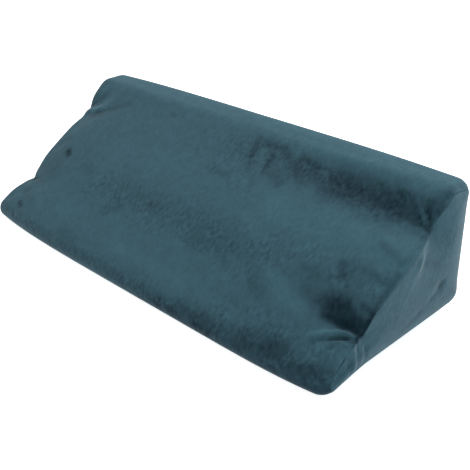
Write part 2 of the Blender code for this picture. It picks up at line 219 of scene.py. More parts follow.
def belt(circles):
    """The outline of a belt round circles (y, z, radius): straight runs on their common tangents, and
    arcs between. It gives the points, the outward angles, the distance along, and for each circle
    where its arc lies."""
    heads = [math.atan2(b[1] - a[1], b[0] - a[0]) for a, b in zip(circles, circles[1:] + circles[:1])]
    leans = [
        math.asin((a[2] - b[2]) / math.hypot(b[0] - a[0], b[1] - a[1]))
        for a, b in zip(circles, circles[1:] + circles[:1])
    ]
    angles = [head - math.pi / 2 + lean for head, lean in zip(heads, leans)]
    points, turns, arcs = [], [], {}
    walked = 0.0
    for i, circle in enumerate(circles):
        after = (i + 1) % len(circles)
        outward = np.array([math.cos(angles[i]), math.sin(angles[i])])
        start = np.array(circle[:2]) + circle[2] * outward
        stop = np.array(circles[after][:2]) + circles[after][2] * outward
        run = float(np.linalg.norm(stop - start))
        points.append(start + np.arange(0.0, run, OUTLINE_STEP)[:, None] / run * (stop - start))
        turns.append(np.full(len(points[-1]), angles[i]))
        turn = (angles[after] - angles[i]) % (2 * math.pi)
        sweep = angles[i] + np.arange(0.0, turn, OUTLINE_STEP / circles[after][2])
        arc = circles[after][2] * np.stack([np.cos(sweep), np.sin(sweep)], 1)
        points.append(np.array(circles[after][:2]) + arc)
        turns.append(sweep)
        arcs[after] = (walked + run, walked + run + turn * circles[after][2])
        walked = arcs[after][1]
    points = np.concatenate(points)
    gaps = np.linalg.norm(np.diff(np.vstack([points, points[:1]]), axis=0), axis=1)
    return points, np.unwrap(np.concatenate(turns)), np.concatenate([[0.0], np.cumsum(gaps)]), arcs


TOE, HEEL, RIDGE_BACK, RIDGE_FRONT = range(4)
ridge_y = DEPTH / 2 - BACK_LEAN - RIDGE_RADIUS
outline, outline_turns, outline_along, arcs = belt([
    (-DEPTH / 2 + TOE_RADIUS, TOE_RADIUS, TOE_RADIUS),
    (DEPTH / 2 - HEEL_RADIUS, HEEL_RADIUS, HEEL_RADIUS),
    (ridge_y, HEIGHT - RIDGE_RADIUS, RIDGE_RADIUS),
    (ridge_y - RIDGE_FLAT, HEIGHT - RIDGE_RADIUS, RIDGE_RADIUS),
])
SLOPE_FOOT = arcs[TOE][0]

# Where the named places of the rolls lie along the outline.
ROLL_PLACES = {
    "toe": sum(arcs[TOE]) / 2,
    "base": BASE_PLACE,
    "heel": sum(arcs[HEEL]) / 2,
    "back low": arcs[HEEL][1] + BACK_MARGIN,
    "back high": arcs[RIDGE_BACK][0] - BACK_MARGIN,
    "ridge back": sum(arcs[RIDGE_BACK]) / 2,
    "ridge front": sum(arcs[RIDGE_FRONT]) / 2,
    "slope": SLOPE_FOOT - SLOPE_PLACE,
}


def section_at(place):
    """The section at a distance along its outline: place in YZ, the angle of its outward normal, swell,
    share of the toe, and the radius of the roll at either end. The swell is a squared half wave over
    slope, ridge and back."""
    y = np.interp(place, outline_along[:-1], outline[:, 0])
    z = np.interp(place, outline_along[:-1], outline[:, 1])
    turn = np.interp(place, outline_along[:-1], outline_turns)
    crown = np.zeros(place.shape)
    for start, stop, height in (
        (arcs[HEEL][1], arcs[RIDGE_BACK][0], BACK_CROWN),
        (arcs[RIDGE_BACK][0], arcs[RIDGE_FRONT][1], RIDGE_CROWN),
        (arcs[RIDGE_FRONT][1], SLOPE_FOOT, SLOPE_CROWN),
    ):
        crown += height * np.sin(math.pi * np.clip((place - start) / (stop - start), 0.0, 1.0)) ** 2
    toe = smooth_step((-y - TOE_START) / (DEPTH / 2 - TOE_START))
    rolls = {}
    for end, side in ((-1, "left"), (1, "right")):
        known = [ROLL_PLACES[roll["place"]] for roll in ROLLS]
        rolls[end] = np.interp(place, known, [roll[side] for roll in ROLLS], period=outline_along[-1])
    return y, z, turn, crown, toe, rolls


def wrap_surface(reach, place):
    """The wrap as a surface of two parameters. place is the distance round the section. reach runs
    from -2 to 2: as far as -1 and 1 it is the share of the straight length, and from there to 2 the
    share of the roll, an arc that ends at the seam. Swell, folds, pinches and waists move a point
    along the section's normal, pinches and waists also draw it in along X, and the toe goes back
    towards the ends."""
    y, z, turn, crown, toe, rolls = section_at(place)
    up = SLOPE_FOOT - place
    right = reach > 0
    end = np.where(right, 1.0, -1.0)
    roll = np.where(right, rolls[1], rolls[-1])
    straight = np.clip(reach, -1.0, 1.0)
    angle = ROLL_ANGLE * np.clip(np.abs(reach) - 1, 0.0, 1.0)
    end_x = LENGTH / 2 - PANEL_CROWN
    x = straight * (end_x - roll) + end * roll * np.sin(angle)
    from_end = np.clip(end_x - np.abs(x), 0.0, None)

    out = crown * (1 - straight**4) - roll * (1 - np.cos(angle)) + strokes(x, up, MAIN_FOLDS + FINE_FOLDS)
    draw = np.zeros(x.shape)
    toe_back = np.zeros(x.shape)
    for pinch in PINCHES:
        width = pinch["half_width"] + PINCH_WIDENING * from_end
        share = (end == pinch["end"]) * bell(up - pinch["up"], width, pinch["bluntness"])
        share = share * bell(from_end, pinch["reach"])
        draw += pinch["draw"] * share
        out -= pinch["sink"] * share
    for waist in WAISTS:
        share = (end == waist["end"]) * bell(up - waist["middle"], waist["half_width"])
        share = share * bell(from_end, waist["reach"])
        draw += waist["draw"] * share
        out -= waist["fall"] * share
    for row in TOE_DRAWS:
        toe_back += (end == row["end"]) * row["draw"] * toe * (np.abs(x) / end_x) ** row["power"]
    return np.stack([x - end * draw, y + np.cos(turn) * out + toe_back, z + np.sin(turn) * out], 2)


# The grid of the wrap. Its four chains round the section are the four sides of the end panels' grids.
TOE_MARGIN = 0.025
LONG_CHAIN = 128
SHORT_CHAIN = 36
PINCH_CROWDING = 1.6
PINCH_CROWDING_REACH = 0.020
PINCH_CROWDING_BLUNTNESS = 4.0
CHAIN_SAMPLES = 1000
AROUND = 2 * (LONG_CHAIN + SHORT_CHAIN)
ROLL_RINGS = 16
RING_AT_END = 0.0014
RING_GROWTH = 0.012
RING_MOST = 0.0033

chain_ends = (
    TOE_MARGIN,
    sum(arcs[HEEL]) / 2,
    sum(arcs[RIDGE_BACK]) / 2,
    SLOPE_FOOT - TOE_MARGIN,
    outline_along[-1] + TOE_MARGIN,
)
chain_counts = (LONG_CHAIN, SHORT_CHAIN, LONG_CHAIN, SHORT_CHAIN)


def chain_places(start, stop, count):
    """Where a chain's points lie along the outline: evenly, but closer beside the slope's pinches."""
    fine = np.linspace(start, stop, CHAIN_SAMPLES)
    crowding = 1 + PINCH_CROWDING * sum(
        bell(SLOPE_FOOT - fine - pinch["up"], PINCH_CROWDING_REACH, PINCH_CROWDING_BLUNTNESS)
        for pinch in PINCHES
        if pinch["end"] == 1
    )
    filled = np.concatenate([[0.0], np.cumsum(crowding[1:])])
    return np.interp(np.linspace(0.0, filled[-1], count, endpoint=False), filled, fine)


around = np.concatenate([
    chain_places(start, stop, count) for start, stop, count in zip(chain_ends, chain_ends[1:], chain_counts)
]) % outline_along[-1]


def ring_reaches():
    """Where the rings lie: some over each roll, and between the rolls closer near the ends."""
    fine = np.arange(0.0, LENGTH, OUTLINE_STEP)
    gap = np.minimum(RING_AT_END + RING_GROWTH * np.minimum(fine, LENGTH - fine), RING_MOST)
    filled = np.concatenate([[0.0], np.cumsum(OUTLINE_STEP / gap[1:])])
    places = np.interp(np.linspace(0.0, filled[-1], math.ceil(filled[-1]) + 1), filled, fine)
    straight = 2 * places / places[-1] - 1
    roll = np.linspace(1.0, 0.0, ROLL_RINGS, endpoint=False)
    return np.concatenate([-1 - roll, straight, 1 + roll[::-1]])


reaches = ring_reaches()
wrap = wrap_surface(reaches[:, None], around[None, :])


def ring_quads(first, second):
    """The quads between two closed rings of vertex numbers, which run round +X."""
    return np.stack([first, np.roll(first, -1), np.roll(second, -1), second], 1)


def grid_quads(rings):
    """The quads of a tube of rings, given as a table of vertex numbers, one row for each ring."""
    return np.concatenate([ring_quads(first, second) for first, second in zip(rings[:-1], rings[1:])])


def add_mesh(name, points, faces):
    """A mesh object at the origin, from an array of points and lists of faces of any size."""
    mesh = bpy.data.meshes.new(name)
    mesh.from_pydata(points.tolist(), [], faces)
    mesh.shade_smooth()
    obj = bpy.data.objects.new(name, mesh)
    bpy.context.scene.collection.objects.link(obj)
    return obj


# The cover is a little larger than its filling. The simulation lets that slack swell out and pucker
# between the seams, while the seams and the base are held.
SWELL_RING_STEP = 3
SWELL_AROUND_STEP = 2
SWELL_SLACK = 0.012
SWELL_PRESSURE = 4.0
SWELL_FRAMES = 20
SWELL_CAP = 0.0012
BASE_HELD = (0.0, arcs[HEEL][0])


def spline_weights(fine_count, step, coarse_count, closed):
    """How much each coarse row gives to each fine row: cubic B-spline weights of their distance."""
    away = np.abs(np.arange(fine_count)[:, None] / step - np.arange(coarse_count)[None, :])
    if closed:
        away = np.minimum(away, coarse_count - away)
    near = 2 / 3 - away**2 + away**3 / 2
    far = np.clip(2 - away, 0.0, None) ** 3 / 6
    weights = np.where(away < 1, near, far)
    return weights / weights.sum(1)[:, None]


def swell_of(points, held):
    """How far each point of a tube of rings moves when it is swollen as cloth. The ends are closed by
    one face each. The filling keeps the cloth from moving inwards, and the move is softly held under
    the cap."""
    count, size = points.shape[:2]
    rings = np.arange(count * size).reshape(count, size)
    faces = grid_quads(rings).tolist() + [rings[0][::-1].tolist(), rings[-1].tolist()]
    obj = add_mesh("swell", points.reshape(-1, 3), faces)
    normals = np.empty(points.size, np.float32)
    obj.data.vertices.foreach_get("normal", normals)
    normals = normals.reshape(points.shape)
    group = obj.vertex_groups.new(name="held")
    group.add(rings[held].tolist(), 1.0, "REPLACE")
    cloth = obj.modifiers.new("cloth", "CLOTH")
    cloth.settings.vertex_group_mass = group.name
    cloth.settings.use_pressure = True
    cloth.settings.uniform_pressure_force = SWELL_PRESSURE
    cloth.settings.shrink_min = -SWELL_SLACK
    cloth.settings.effector_weights.gravity = 0.0
    cloth.point_cache.frame_start = 1
    cloth.point_cache.frame_end = SWELL_FRAMES
    for moment in range(1, SWELL_FRAMES + 1):
        bpy.context.scene.frame_set(moment)
    swollen = obj.evaluated_get(bpy.context.evaluated_depsgraph_get()).data
    places = np.empty(len(swollen.vertices) * 3, np.float32)
    swollen.vertices.foreach_get("co", places)
    bpy.data.objects.remove(obj, do_unlink=True)
    bpy.context.scene.frame_set(1)
    move = places.reshape(points.shape) - points
    move -= np.minimum((move * normals).sum(2, keepdims=True), 0.0) * normals
    far = np.linalg.norm(move, axis=2, keepdims=True) + 1e-9
    return move * np.tanh(far / SWELL_CAP) * SWELL_CAP / far


def swollen_wrap(points):
    """The wrap with its swell, worked out on fewer rings and brought to all of them by splines."""
    last = (len(reaches) - 1) // SWELL_RING_STEP * SWELL_RING_STEP
    coarse_rings = np.arange(0, last + 1, SWELL_RING_STEP)
    coarse = points[coarse_rings][:, ::SWELL_AROUND_STEP]
    on_base = (around >= BASE_HELD[0]) & (around <= BASE_HELD[1])
    held = np.zeros(coarse.shape[:2], bool)
    held[[0, -1]] = True
    held |= on_base[None, ::SWELL_AROUND_STEP]
    move = swell_of(coarse, held)
    over_rings = spline_weights(len(reaches), SWELL_RING_STEP, len(coarse_rings), closed=False)
    over_section = spline_weights(AROUND, SWELL_AROUND_STEP, AROUND // SWELL_AROUND_STEP, closed=True)
    move = np.einsum("ri,ijk,sj->rsk", over_rings, move, over_section)
    from_seam = np.minimum(np.arange(len(reaches)), np.arange(len(reaches))[::-1])[:, None, None]
    return points + move * smooth_step(from_seam / ROLL_RINGS)


wrap = swollen_wrap(wrap)


# At each mouth the wrap turns in over the seam allowance as a small lip, goes straight in, and is closed
# by a floor that lies under the end panel, where the real cover is full of foam.
LIP_RADIUS = 0.0005
LIP_ANGLES = np.radians((85, 115, 145, 172))
PANEL_THICKNESS = 0.0024
FLOOR_GAP = 0.0006
PANEL_ROLL_REACH = 0.010
PANEL_DRAW_REACH = 0.030
PANEL_EVENING = 0.6

# The pillow is worked out round the middle of its section, and everything that is built is moved by the
# seat, so that it lies on the frame's cushion.
cushion_box = np.array(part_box("cushion"))
seat = cushion_box.mean(0) - (wrap.reshape(-1, 3).min(0) + wrap.reshape(-1, 3).max(0)) / 2
seat[2] = -wrap[..., 2].min()


def inward(ring):
    """The direction in the YZ plane from a ring's edge towards its middle, square to the edge."""
    tangent = np.roll(ring, -1, axis=0)[:, 1:] - np.roll(ring, 1, axis=0)[:, 1:]
    tangent /= np.linalg.norm(tangent, axis=1)[:, None]
    return np.stack([np.zeros(len(ring)), -tangent[:, 1], tangent[:, 0]], 1)


def lip_rings(seam, end):
    """The rings of the lip. It goes on from the roll's last angle as an arc of the lip's radius."""
    across = inward(seam)
    along = np.array([end, 0.0, 0.0])
    return [
        seam
        + LIP_RADIUS * (math.sin(angle) - math.sin(ROLL_ANGLE)) * along
        + LIP_RADIUS * (math.cos(ROLL_ANGLE) - math.cos(angle)) * across
        for angle in LIP_ANGLES
    ]


def patch(ring):
    """A Coons patch: the grid that a ring of four chains spans. It is the sum of the two blends
    between opposite chains, less the blend of the four corners."""
    half_way = LONG_CHAIN + SHORT_CHAIN
    ring = np.vstack([ring, ring[:1]])
    base = ring[: LONG_CHAIN + 1]
    back = ring[LONG_CHAIN : half_way + 1]
    slope = ring[half_way : half_way + LONG_CHAIN + 1][::-1]
    toe = ring[half_way + LONG_CHAIN :][::-1]
    u = np.linspace(0.0, 1.0, LONG_CHAIN + 1)[:, None, None]
    v = np.linspace(0.0, 1.0, SHORT_CHAIN + 1)[None, :, None]
    across = (1 - v) * base[:, None] + v * slope[:, None]
    along = (1 - u) * toe[None] + u * back[None]
    at_toe = (1 - v) * base[0] + v * slope[0]
    at_back = (1 - v) * base[-1] + v * slope[-1]
    return across + along - ((1 - u) * at_toe + u * at_back)


def patch_numbers(ring, first):
    """The vertex numbers of a patch. Its edge is the ring given, and its inside starts at first."""
    numbers = np.empty((LONG_CHAIN + 1, SHORT_CHAIN + 1), int)
    ring = np.append(ring, ring[0])
    half_way = LONG_CHAIN + SHORT_CHAIN
    inside = np.arange((LONG_CHAIN - 1) * (SHORT_CHAIN - 1))
    numbers[1:-1, 1:-1] = first + inside.reshape(LONG_CHAIN - 1, -1)
    numbers[:, 0] = ring[: LONG_CHAIN + 1]
    numbers[-1, :] = ring[LONG_CHAIN : half_way + 1]
    numbers[:, -1] = ring[half_way : half_way + LONG_CHAIN + 1][::-1]
    numbers[0, :] = ring[half_way + LONG_CHAIN :][::-1]
    return numbers


def patch_quads(numbers):
    """The quads of a patch, which face -X."""
    a, b, c, d = numbers[:-1, :-1], numbers[:-1, 1:], numbers[1:, 1:], numbers[1:, :-1]
    return np.stack([a, b, c, d], 2).reshape(-1, 4)


def end_depth(points, seam, end):
    """How far in from the pillow's very end a panel lies. It goes on with what is left of the wrap's
    roll and with what the thread draws in, each fading by distance from the seam, and swells into a
    low crown."""
    edge = np.roll(seam, -1, axis=0)[:, 1:] - seam[:, 1:]
    offset = points[:, None, 1:] - seam[None, :, 1:]
    t = np.clip((offset * edge).sum(2) / (edge**2).sum(1), 0.0, 1.0)
    away = np.linalg.norm(offset - t[:, :, None] * edge, axis=2).min(1)
    apart = np.linalg.norm(offset, axis=2)
    share = np.exp((away[:, None] ** 2 - apart**2) / (PANEL_EVENING * away[:, None] + PANEL_THICKNESS) ** 2)
    share /= share.sum(1)[:, None]
    short = LENGTH / 2 - PANEL_CROWN - np.abs(seam[:, 0])
    roll_left = (1 - math.sin(ROLL_ANGLE)) * section_at(around)[5][end]
    roll = share @ roll_left * np.exp(-away / PANEL_ROLL_REACH)
    draw = share @ (short - roll_left) * np.exp(-away / PANEL_DRAW_REACH)
    crown = PANEL_CROWN * np.sin(math.pi / 2 * away / away.max())
    return roll + draw - crown + PANEL_CROWN


def close_mouth(seam, seam_numbers, first, end):
    """The points and quads of lip, wall and floor at one end. New points are numbered from first."""
    lips = lip_rings(seam, end)
    floor_ring = lips[-1].copy()
    inside = patch(floor_ring)[1:-1, 1:-1].reshape(-1, 3)
    drop = PANEL_THICKNESS + FLOOR_GAP
    floor_ring[:, 0] = end * (LENGTH / 2 - end_depth(floor_ring, seam, end) - drop)
    inside[:, 0] = end * (LENGTH / 2 - end_depth(inside, seam, end) - drop)
    added = (len(lips) + 1) * AROUND
    loops = np.vstack([seam_numbers[None], first + np.arange(added).reshape(-1, AROUND)])
    numbers = patch_numbers(loops[-1], first + added)
    quads = np.concatenate([grid_quads(loops), patch_quads(numbers)[:, ::-1]])
    if end < 0:
        quads = quads[:, ::-1]
    return np.concatenate([*lips, floor_ring, inside]), quads


ring_numbers = np.arange(wrap.shape[0] * AROUND).reshape(-1, AROUND)
wrap_points = [wrap.reshape(-1, 3)]
wrap_faces = [grid_quads(ring_numbers)]
for end, row in ((-1, 0), (1, -1)):
    added, quads = close_mouth(wrap[row], ring_numbers[row], sum(map(len, wrap_points)), end)
    wrap_points.append(added)
    wrap_faces.append(quads)
wrap_points = np.concatenate(wrap_points)
wrap_faces = np.concatenate(wrap_faces)
cushion = add_mesh("velvet_wrap", wrap_points + seat, wrap_faces.tolist())


# How the pile of the wrap was brushed, and where shade and highlights are painted on it: painted shade
# in its hollows, creases and along the toe, and painted highlights on the crests of its folds. They are
# strokes of the same form as the folds, on (x, up). The pile looks dark where it leans towards the eye,
# and light where it leans away. Tone 0 is the velvet as it comes.
TONE_STROKE_BLUNTNESS = 3.0
WRAP_BRUSH_AND_SHADE_STROKES = table(FOLD_COLUMNS, (
    # Broad light and dark bands over the slope.
    (((-0.150, 0.138), (0.120, 0.140)), 0.05, 1.0, 0.030),
    (((0.125, 0.150), (0.290, 0.146)), 0.14, 1.0, 0.022),
    (((0.190, 0.172), (0.250, 0.154)), 0.06, 1.0, 0.008),
    (((0.105, 0.122), (0.150, 0.098)), 0.06, 1.0, 0.010),
    (((0.168, 0.118), (0.215, 0.118)), 0.05, 1.0, 0.009),
    (((-0.200, 0.045), (0.120, 0.040)), 0.07, 1.0, 0.030),
    (((-0.050, 0.022), (0.078, 0.021)), 0.08, 1.0, 0.009),
    (((-0.175, 0.038), (-0.150, 0.036)), 0.06, 1.0, 0.012),
    (((-0.238, 0.048), (-0.215, 0.020)), 0.07, 1.0, 0.007),
    (((0.170, 0.073), (0.225, 0.056)), 0.14, 1.0, 0.012),
    (((0.100, 0.239), (0.280, 0.237)), 0.11, 1.0, 0.009),
    (((0.130, 0.240), (0.175, 0.243)), 0.07, 1.0, 0.006),
    (((-0.120, 0.092), (0.140, 0.090)), -0.09, 1.0, 0.017),
    (((-0.104, 0.058), (-0.088, 0.066)), -0.14, 1.0, 0.010),
    (((-0.188, 0.100), (-0.174, 0.100)), -0.10, 1.0, 0.009),
    (((0.088, 0.082), (0.116, 0.064)), -0.09, 1.0, 0.008),
    (((-0.145, 0.010), (-0.132, 0.015)), -0.10, 1.0, 0.007),
    (((-0.265, 0.036), (-0.262, 0.030)), -0.12, 1.0, 0.007),
    (((-0.037, 0.090), (-0.031, 0.090)), -0.16, 1.0, 0.005),
    (((0.052, 0.070), (0.072, 0.070)), -0.14, 1.0, 0.009),
    (((0.002, 0.166), (0.036, 0.164)), -0.15, 1.0, 0.006),
    (((0.160, 0.062), (0.176, 0.056)), -0.13, 1.0, 0.011),
    (((-0.117, 0.222), (-0.110, 0.220)), -0.16, 1.0, 0.004),
    # The dark band under the ridge: painted shade in the trough under it, and brushed pile, streaked
    # where the hand stopped.
    (((0.300, 0.208), (0.255, 0.204), (0.172, 0.204)), -0.38, 1.35, 0.0220),
    (((0.136, 0.207), (0.112, 0.207)), -0.33, 1.0, 0.0185),
    (((0.080, 0.204), (0.008, 0.208)), -0.20, 0.5, 0.0190),
    (((0.038, 0.228), (0.045, 0.202)), -0.26, 1.0, 0.0045),
    (((0.052, 0.192), (0.056, 0.182)), -0.16, 1.0, 0.0045),
    (((0.052, 0.226), (0.066, 0.225)), -0.28, 1.0, 0.0070),
    (((0.072, 0.212), (0.078, 0.186)), -0.24, 1.0, 0.0045),
    (((0.078, 0.226), (0.092, 0.220)), -0.26, 1.0, 0.0065),
    (((0.092, 0.186), (0.108, 0.180)), -0.22, 1.0, 0.0080),
    (((0.072, 0.176), (0.078, 0.156)), -0.09, 1.0, 0.0050),
    (((0.112, 0.225), (0.134, 0.218)), -0.18, 1.0, 0.0060),
    (((0.110, 0.215), (0.130, 0.190)), -0.10, 1.0, 0.0050),
    (((0.055, 0.216), (0.064, 0.200)), 0.14, 1.0, 0.0045),
    (((0.092, 0.208), (0.096, 0.200)), 0.10, 1.0, 0.0040),
    (((0.150, 0.208), (0.160, 0.203)), 0.08, 1.0, 0.0050),
    (((0.186, 0.212), (0.198, 0.200)), -0.06, 1.0, 0.0060),
    (((0.222, 0.203), (0.240, 0.203)), -0.10, 1.0, 0.0060),
    (((0.244, 0.224), (0.252, 0.220)), -0.14, 1.0, 0.0045),
    # The folds of its right end: painted highlights on their crests and painted shade in their creases,
    # and darker strokes beside the seam.
    (((0.256, 0.232), (0.276, 0.230)), 0.12, 1.0, 0.0060),
    (((0.282, 0.225), (0.286, 0.214)), -0.12, 1.0, 0.0035),
    (((0.268, 0.222), (0.279, 0.211), (0.288, 0.202)), 0.18, 1.0, 0.0026),
    (((0.286, 0.212), (0.291, 0.202)), -0.16, 1.0, 0.0030),
    (((0.270, 0.191), (0.292, 0.190)), 0.20, 1.0, 0.0045),
    (((0.292, 0.203), (0.302, 0.203)), 0.16, 1.0, 0.0035),
    (((0.296, 0.186), (0.303, 0.172)), -0.16, 1.0, 0.0050),
    (((0.268, 0.156), (0.296, 0.146)), -0.18, 1.0, 0.0050),
    (((0.296, 0.238), (0.299, 0.268)), -0.16, 1.0, 0.0060),
    (((0.300, 0.132), (0.301, 0.084)), -0.24, 1.0, 0.0040),
    # Painted shade in the hollow of the lower pinch, and painted highlights and painted shade on the crests
    # and creases of the folds that run from it.
    (((0.262, 0.074), (0.300, 0.071)), -0.58, 1.0, 0.0185),
    (((0.256, 0.060), (0.278, 0.059)), -0.24, 1.0, 0.0055),
    (((0.299, 0.053), (0.301, 0.076)), -0.35, 1.0, 0.0028),
    (((0.222, 0.080), (0.236, 0.074)), -0.19, 1.0, 0.0120),
    (((0.278, 0.086), (0.288, 0.080), (0.297, 0.080)), 0.26, 1.0, 0.0040),
    (((0.206, 0.097), (0.246, 0.099)), -0.12, 1.0, 0.0085),
    (((0.252, 0.124), (0.262, 0.116)), -0.14, 1.0, 0.0070),
    (((0.252, 0.104), (0.272, 0.104)), -0.10, 1.0, 0.0070),
    (((0.242, 0.119), (0.250, 0.108)), -0.30, 1.0, 0.0055),
    (((0.268, 0.124), (0.292, 0.119)), -0.22, 1.0, 0.0050),
    (((0.292, 0.055), (0.280, 0.052), (0.268, 0.045), (0.254, 0.034)), 0.26, 1.0, 0.0030),
    (((0.298, 0.048), (0.287, 0.045), (0.276, 0.039)), -0.38, 0.4, 0.0030),
    (((0.270, 0.026), (0.284, 0.030)), 0.14, 1.0, 0.0055),
    # The front corner, darker, and painted shade along the toe's lower edge.
    (((0.190, 0.003), (0.240, 0.007)), -0.27, 1.0, 0.0130),
    (((0.215, 0.020), (0.238, 0.004)), -0.14, 1.0, 0.0090),
    (((0.219, 0.004), (0.225, 0.002)), -0.16, 1.0, 0.0050),
    (((0.262, 0.000), (0.292, 0.004)), -0.27, 1.0, 0.0100),
    (((0.095, 0.001), (0.170, 0.002)), -0.14, 1.0, 0.0080),
    (((-0.290, -0.022), (-0.115, -0.020)), -0.36, 1.0, 0.0160),
    (((-0.088, -0.020), (-0.030, -0.021), (0.056, -0.021)), -0.30, 1.6, 0.0165),
    (((-0.146, 0.005), (-0.112, 0.005)), -0.10, 1.0, 0.0055),
    (((0.062, -0.012), (0.084, -0.012)), -0.20, 1.0, 0.0070),
    (((0.122, -0.014), (0.140, -0.014)), -0.12, 1.0, 0.0060),
    (((0.090, -0.022), (0.300, -0.023)), -0.52, 1.0, 0.0190),
    # Two small dark spots, and the left end: painted highlights on its folds and painted shade in its
    # hollows and creases.
    (((-0.240, 0.113), (-0.233, 0.108)), -0.50, 1.0, 0.0050),
    (((-0.256, 0.011), (-0.250, 0.009)), -0.36, 1.0, 0.0045),
    (((-0.262, 0.130), (-0.244, 0.116)), -0.10, 1.0, 0.0090),
    (((-0.272, 0.077), (-0.232, 0.074)), -0.12, 0.5, 0.0070),
    (((-0.240, 0.094), (-0.262, 0.092)), -0.06, 1.0, 0.0120),
    (((-0.268, 0.188), (-0.252, 0.196), (-0.243, 0.214)), 0.18, 0.6, 0.0050),
    (((-0.256, 0.181), (-0.239, 0.189), (-0.220, 0.203), (-0.206, 0.214)), -0.28, 0.5, 0.0070),
    (((-0.292, 0.194), (-0.284, 0.206), (-0.280, 0.220)), -0.40, 0.4, 0.0060),
    (((-0.281, 0.204), (-0.275, 0.220), (-0.272, 0.234)), 0.26, 0.4, 0.0028),
    (((-0.280, 0.197), (-0.268, 0.209), (-0.260, 0.224)), -0.36, 0.5, 0.0045),
    (((-0.288, 0.059), (-0.254, 0.056)), -0.30, 0.5, 0.0055),
))

# Where the pile was ruffled into fine specks, in the same way.
WRAP_RUFFLES = table(FOLD_COLUMNS, (
    (((-0.130, 0.085), (0.150, 0.086)), 1.0, 1.0, 0.024),
    (((0.150, 0.112), (0.290, 0.108)), 0.8, 1.0, 0.020),
    (((0.160, 0.012), (0.290, 0.010)), 1.0, 1.0, 0.024),
    (((-0.290, -0.008), (0.160, -0.008)), 0.7, 1.0, 0.014),
    (((0.030, 0.212), (0.290, 0.206)), 0.8, 1.0, 0.024),
    (((-0.020, 0.190), (0.060, 0.160)), 0.5, 1.0, 0.020),
))


def to_linear(colour):
    """An sRGB hex colour such as "3f5b66" as linear red, green, blue and alpha."""
    channels = [int(colour[i : i + 2], 16) / 255 for i in (0, 2, 4)]
    return [c / 12.92 if c <= 0.04045 else ((c + 0.055) / 1.055) ** 2.4 for c in channels] + [1.0]


def node(tree, kind, settings=(), inputs=(), links=()):
    """Adds a node: settings are its own properties, inputs are values by socket, and links are the
    outputs that go to sockets."""
    new = tree.nodes.new(kind)
    for name, value in dict(settings).items():
        setattr(new, name, value)
    for socket, value in dict(inputs).items():
        new.inputs[socket].default_value = value
    for socket, output in dict(links).items():
        tree.links.new(output, new.inputs[socket])
    return new


# The patterns of the brushed pile: their sizes, and how far each moves the tone. A single hair is too
# fine to show, so the finest pattern is a tuft of them.
CLOUD_MM = 60.0
BLOTCH_MM = 13.0
CLUMP_MM = 22.0
SPECK_MM = 4.5
SPECK_STRETCH = 1.6
SPECK_SLANT = math.radians(35)
PILE_MM = 1.6
CLOUD_TONE = 0.14
BLOTCH_TONE = 0.30
SPECK_TONE = 0.32
RUFFLED_SPECK_TONE = 1.10
PILE_TONE = 0.10

# The velvet's colour by tone: in the middle as it comes, about a sixth of that at the dark end, and about
# one and a half times that at the light end.
TONES = (
    (0.00, "0b2430"),
    (0.66, "3b5d69"),
    (1.00, "466f7d"),
)
TONE_MIDDLE = 0.66


